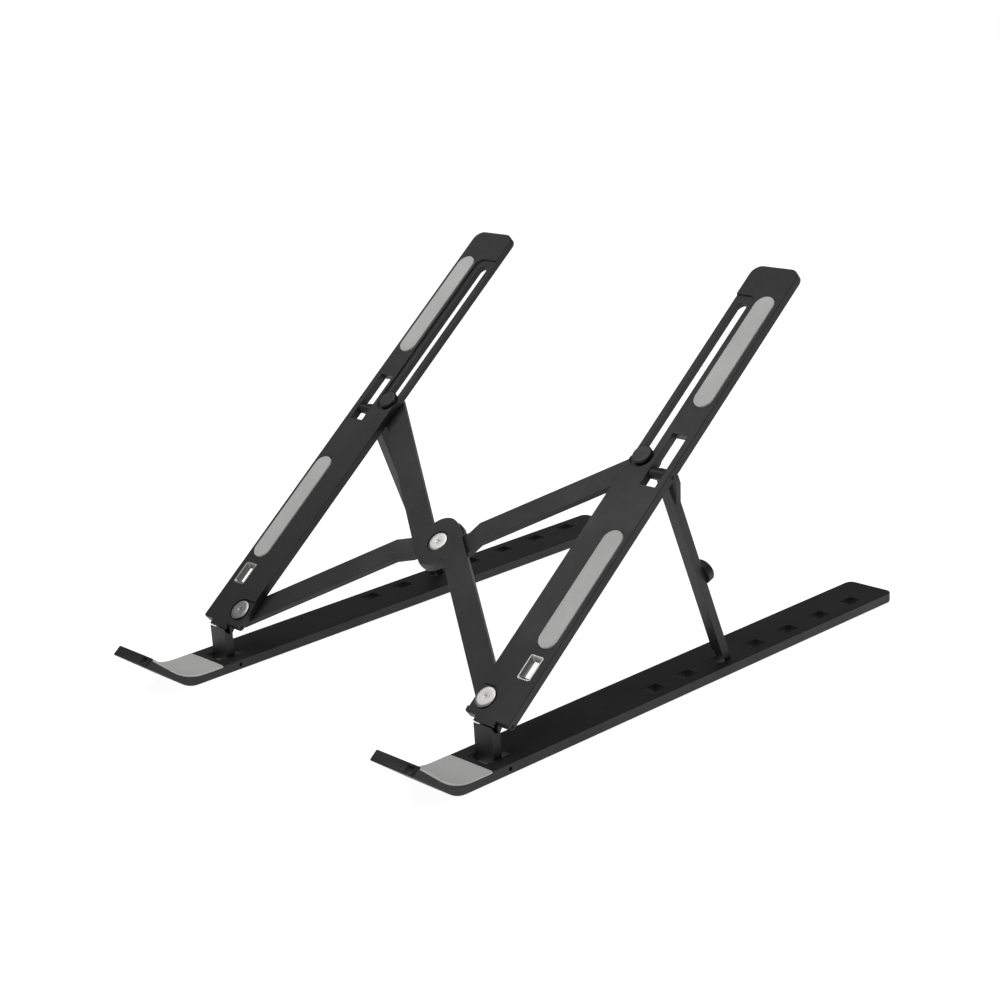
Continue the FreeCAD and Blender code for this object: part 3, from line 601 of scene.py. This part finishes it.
class STAND_OT_links(bpy.types.Operator):
    """Finish the two crossing links"""
    bl_idname = "stand.make_links"
    bl_label = "Crossing links"

    def execute(self, context):
        for level in ("over", "under"):
            moulded_piece(f"{level}_link_moulding", f"cross_link_{level}", sizes().edge_radius)
        return {"FINISHED"}


class STAND_OT_arm_pads(bpy.types.Operator):
    """Mould the four silicone strips on the arms, each with a raised rim"""
    bl_idname = "stand.make_arm_pads"
    bl_label = "Arm pads"

    def execute(self, context):
        axes = axes_matrix(ARM_UP, ARM_ALONG)
        rim, dip = sizes().pad_rim, sizes().pad_dip
        quarter_turn = [math.pi / 8 * step for step in range(1, 5)]
        for side in SIDES:
            for level in ("upper", "lower"):
                node = f"{side}_{level}_pad"
                low, high, half, place = seat(node, axes)
                edge = min(0.35 * MM, half.z)
                steps = [(0, low.z), (0, high.z - edge)]
                steps += [(edge * (1 - math.cos(angle)), high.z - edge * (1 - math.sin(angle)))
                          for angle in quarter_turn]
                steps += [(edge + 0.5 * rim, high.z), (edge + 0.8 * rim, high.z - 0.3 * dip),
                          (edge + rim, high.z - dip), (edge + 1.5 * rim, high.z - dip),
                          (0.72 * half.x, high.z - 0.7 * dip)]
                rings = [ring(half.x - inset, half.y - inset, half.x - inset, height)
                         for inset, height in steps]
                finish_piece(f"{side}_{level}_strip", lofted(rings, place), node)
        return {"FINISHED"}


class STAND_OT_front_pads(bpy.types.Operator):
    """Mould the silicone sheets in the bends of the bars, slightly crowned"""
    bl_idname = "stand.make_front_pads"
    bl_label = "Front pads"

    def execute(self, context):
        strips, upward, edge = 10, 0.3, 0.22 * MM
        for side in SIDES:
            node = f"{side}_front_pad"
            low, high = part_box(node)
            mesh = merged_copy(node)
            for index in range(1, strips):
                cut = Vector((low.x + (high.x - low.x) * index / strips, 0, 0))
                parts = mesh.verts[:] + mesh.edges[:] + mesh.faces[:]
                bmesh.ops.bisect_plane(mesh, geom=parts, plane_co=cut, plane_no=ACROSS, dist=WELD)
            mesh.normal_update()
            middle, half = (low.x + high.x) / 2, (high.x - low.x) / 2
            for vertex in mesh.verts:
                if vertex.normal.z > upward:
                    share = (vertex.co.x - middle) / half
                    vertex.co.z += sizes().pad_crown * (1 - share ** 4)
            soften_edges(mesh, edge)
            finish_piece(f"{side}_edge_seat_sheet", mesh, node)
        return {"FINISHED"}


class STAND_OT_grips(bpy.types.Operator):
    """Mould the ribbed anti-slip strips under the bars"""
    bl_idname = "stand.make_grips"
    bl_label = "Grip strips"

    def execute(self, context):
        tree = make_rib_tree()
        tall, step = sizes().rib_height, sizes().rib_step
        margin, corner = step, 1.0 * MM
        for side in SIDES:
            for end in ("front", "rear"):
                node = f"{side}_{end}_grip"
                low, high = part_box(node)
                middle, half = (low + high) / 2, (high - low) / 2
                rings = [ring(half.x, half.y, corner, height) for height in (low.z + tall, high.z)]
                mesh = lofted(rings, Matrix.Translation((middle.x, middle.y, 0)))
                piece = finish_piece(f"{side}_{end}_grip_strip", mesh, node, weighted=False)
                count = int((2 * half.y - 2 * margin) / step)
                first = middle.y - (count - 1) / 2 * step
                add_nodes(piece, tree, first_rib=(middle.x, first, low.z + 0.5 * tall),
                          step=(0, step, 0), ribs=count,
                          rib_size=(2 * (half.x - margin), 0.5 * step, tall),
                          material=bpy.data.materials[f"{SLOT_OF[node]}_finish"])
                plain_mesh(piece)
        return {"FINISHED"}


class STAND_OT_catch_frames(bpy.types.Operator):
    """Press the bright frames of the small windows, with walls that slope inwards"""
    bl_idname = "stand.make_catch_frames"
    bl_label = "Catch frames"

    def execute(self, context):
        axes = axes_matrix(ARM_UP, ARM_ALONG)
        rim, slope = sizes().catch_rim, sizes().catch_slope
        play, flange, proud, corner = 0.02 * MM, 0.1 * MM, 0.12 * MM, 0.75 * MM
        for side in SIDES:
            node = f"{side}_catch_frame"
            low, high, half, place = seat(node, axes)
            steps = [(play, low.z), (play, high.z), (-flange, high.z),
                     (-flange, high.z + 0.6 * proud), (0, high.z + proud),
                     (rim, high.z + proud), (rim + 0.15 * MM, high.z + 0.4 * proud),
                     (rim + 0.5 * slope, 0.45 * low.z + 0.55 * high.z),
                     (rim + slope, low.z + 0.2 * MM), (rim + slope, low.z)]
            rings = [ring(half.x - inset, half.y - inset, corner - 0.3 * inset, height)
                     for inset, height in steps]
            mesh = lofted(rings, place, hollow=True)
            finish_piece(f"{side}_catch_bezel", mesh, node)
        return {"FINISHED"}


class STAND_OT_rivets(bpy.types.Operator):
    """Turn the corner rivets and the centre rivet"""
    bl_idname = "stand.make_rivets"
    bl_label = "Rivets"

    def execute(self, context):
        axes = axes_matrix(ARM_UP, ARM_ALONG)
        edge = sizes().metal_edge
        shank, foot, foot_thick, head_thick = 2.0 * MM, 3.4 * MM, 0.8 * MM, 0.7 * MM
        dimple = 0.1 * MM
        for node in ("right_corner_rivet", "left_corner_rivet", "centre_rivet"):
            low, high, half, place = seat(node, axes)
            top, head = high.z, half.x
            outline = [(0, top - dimple), (0.55 * MM, top - dimple), (0.75 * MM, top),
                       (0.8 * head, top), (head, top - 0.12 * MM), (head, top - head_thick),
                       (shank, top - head_thick), (shank, low.z + foot_thick),
                       (foot, low.z + foot_thick), (foot, low.z), (0, low.z)]
            finish_piece(f"{node}_turned", lathe(rounded(outline, edge), place), node)
        return {"FINISHED"}


class STAND_OT_knobs(bpy.types.Operator):
    """Turn the slider knobs and the strut studs"""
    bl_idname = "stand.make_knobs"
    bl_label = "Knobs and studs"

    def execute(self, context):
        axes = axes_matrix(ARM_UP, ARM_ALONG)
        shaft, foot, foot_thick, disc = 2.3 * MM, 3.4 * MM, 0.8 * MM, 1.65 * MM
        shoulder, stud_shoulder = 0.35 * MM, 0.5 * MM
        for side in SIDES:
            node = f"{side}_slider_knob"
            low, high, half, place = seat(node, axes)
            top, reach = high.z, half.x
            outline = [(0, top - 0.06 * MM), (0.6 * reach, top - 0.02 * MM),
                       (reach - shoulder, top), (reach, top - shoulder), (reach, top - disc),
                       (shaft, top - disc), (shaft, low.z + foot_thick),
                       (foot, low.z + foot_thick), (foot, low.z), (0, low.z)]
            finish_piece(f"{side}_knob_turned", lathe(rounded(outline, 0.3 * MM), place), node)
            node = f"{side}_strut_stud"
            rear = flat_normal(node)
            low, high, half, place = seat(node, axes_matrix(rear, rear.cross(ACROSS)))
            top, reach = high.z, half.x
            outline = [(0, top - 0.25 * MM), (0.55 * reach, top - 0.18 * MM), (0.8 * reach, top),
                       (reach - stud_shoulder, top), (reach, top - stud_shoulder),
                       (reach, low.z), (0, low.z)]
            finish_piece(f"{side}_stud_turned", lathe(rounded(outline, 0.35 * MM), place), node)
        return {"FINISHED"}


class STAND_OT_pins(bpy.types.Operator):
    """Turn the steel cross pins with chamfered ends"""
    bl_idname = "stand.make_pins"
    bl_label = "Cross pins"

    def execute(self, context):
        chamfer = 0.2 * MM
        lying = Matrix.Rotation(math.pi / 2, 4, "Y")
        for side in SIDES:
            for use in ("base", "arm", "strut"):
                node = f"{side}_{use}_pin"
                low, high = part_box(node)
                middle, half = (low + high) / 2, (high - low) / 2
                radius, reach = half.z, half.x + (0 if use == "base" else PIN_COVER)
                outline = [(0, reach), (radius - chamfer, reach), (radius, reach - chamfer),
                           (radius, chamfer - reach), (radius - chamfer, -reach), (0, -reach)]
                finish_piece(f"{side}_{use}_pin_turned",
                             lathe(outline, Matrix.Translation(middle) @ lying), node)
        return {"FINISHED"}


class STAND_OT_stage(bpy.types.Operator):
    """Set the floor, the soft lights, the world and the camera"""
    bl_idname = "stand.make_stage"
    bl_label = "Stage"

    def execute(self, context):
        make_floor()
        make_lights()
        make_camera()
        return {"FINISHED"}


def make_floor():
    material, tree, shader, where = new_material("pale_floor")
    tint = noise_node(tree, where, 3.0, 2.0)
    pale = mix_colour(tree, tint, (0.34, 0.34, 0.34), (0.36, 0.36, 0.36))
    tree.links.new(pale, shader.inputs["Base Color"])
    shader.inputs["Roughness"].default_value = 0.9
    shader.inputs["Specular IOR Level"].default_value = 0.0
    shader.inputs["Emission Color"].default_value = (1.0, 1.0, 1.0, 1.0)
    shader.inputs["Emission Strength"].default_value = 0.95
    mesh = bmesh.new()
    bmesh.ops.create_grid(mesh, x_segments=1, y_segments=1, size=6.0)
    data = bpy.data.meshes.new("floor")
    mesh.to_mesh(data)
    mesh.free()
    data.materials.append(material)
    floor = bpy.data.objects.new("floor", data)
    bpy.context.scene.collection.objects.link(floor)


def add_area_light(name, place, target, width, height, power):
    light = bpy.data.lights.new(name, "AREA")
    light.shape = "RECTANGLE"
    light.size, light.size_y, light.energy = width, height, power
    lamp = bpy.data.objects.new(name, light)
    lamp.location = place
    lamp.rotation_euler = (Vector(target) - Vector(place)).to_track_quat("-Z", "Y").to_euler()
    bpy.context.scene.collection.objects.link(lamp)


def make_lights():
    world = bpy.data.worlds.new("studio")
    world.use_nodes = True
    background = world.node_tree.nodes["Background"]
    background.inputs["Color"].default_value = (1.0, 1.0, 1.0, 1.0)
    background.inputs["Strength"].default_value = 0.14
    bpy.context.scene.world = world
    add_area_light("left_softbox", (-0.52, -0.2, 0.75), (0.08, -0.05, 0.06), 0.4, 0.35, 1.1)
    add_area_light("top_softbox", (0.1, -0.3, 1.6), (0.0, 0.0, 0.05), 1.4, 1.4, 15.0)
    bpy.context.scene.view_settings.view_transform = "Standard"


def make_camera():
    """A long lens, a little above the stand, to its right and front."""
    azimuth, elevation, roll = math.radians(47.77), math.radians(17.07), math.radians(-3.62)
    place = Vector((572.9, -522.9, 299.2)) * MM
    back = Vector((math.sin(azimuth) * math.cos(elevation),
                   -math.cos(azimuth) * math.cos(elevation), math.sin(elevation)))
    level = Vector((math.cos(azimuth), math.sin(azimuth), 0))
    upward = back.cross(level)
    right = level * math.cos(roll) + upward * math.sin(roll)
    lens = bpy.data.cameras.new("camera")
    lens.lens, lens.sensor_width, lens.clip_start = 74.47, 36.0, 0.05
    camera = bpy.data.objects.new("camera", lens)
    turn = Matrix((right, back.cross(right), back)).transposed().to_4x4()
    camera.matrix_world = Matrix.Translation(place) @ turn
    bpy.context.scene.collection.objects.link(camera)
    bpy.context.scene.camera = camera


class STAND_PT_panel(bpy.types.Panel):
    """Lists the stand's operators, sizes and colours in the sidebar"""
    bl_idname = "STAND_PT_panel"
    bl_label = "Laptop Stand"
    bl_space_type = "VIEW_3D"
    bl_region_type = "UI"
    bl_category = "Laptop Stand"

    def draw(self, context):
        for operator in OPERATORS:
            self.layout.operator(operator.bl_idname)
        for group in (context.scene.stand_sizes, context.scene.stand_colours):
            box = self.layout.box()
            for label in group.bl_rna.properties.keys():
                if label not in ("rna_type", "name"):
                    box.prop(group, label)


OPERATORS = (STAND_OT_finishes, STAND_OT_bars, STAND_OT_arms, STAND_OT_supports, STAND_OT_links,
             STAND_OT_arm_pads, STAND_OT_front_pads, STAND_OT_grips, STAND_OT_catch_frames,
             STAND_OT_rivets, STAND_OT_knobs, STAND_OT_pins, STAND_OT_stage)
CLASSES = (StandSizes, StandColours, *OPERATORS, STAND_PT_panel)


def register():
    for item in CLASSES:
        bpy.utils.register_class(item)
    bpy.types.Scene.stand_sizes = PointerProperty(type=StandSizes)
    bpy.types.Scene.stand_colours = PointerProperty(type=StandColours)


def unregister():
    del bpy.types.Scene.stand_colours
    del bpy.types.Scene.stand_sizes
    for item in reversed(CLASSES):
        bpy.utils.unregister_class(item)


def main():
    register()
    for operator in OPERATORS:
        group, name = operator.bl_idname.split(".")
        getattr(getattr(bpy.ops, group), name)()


if __name__ == "__main__":
    main()
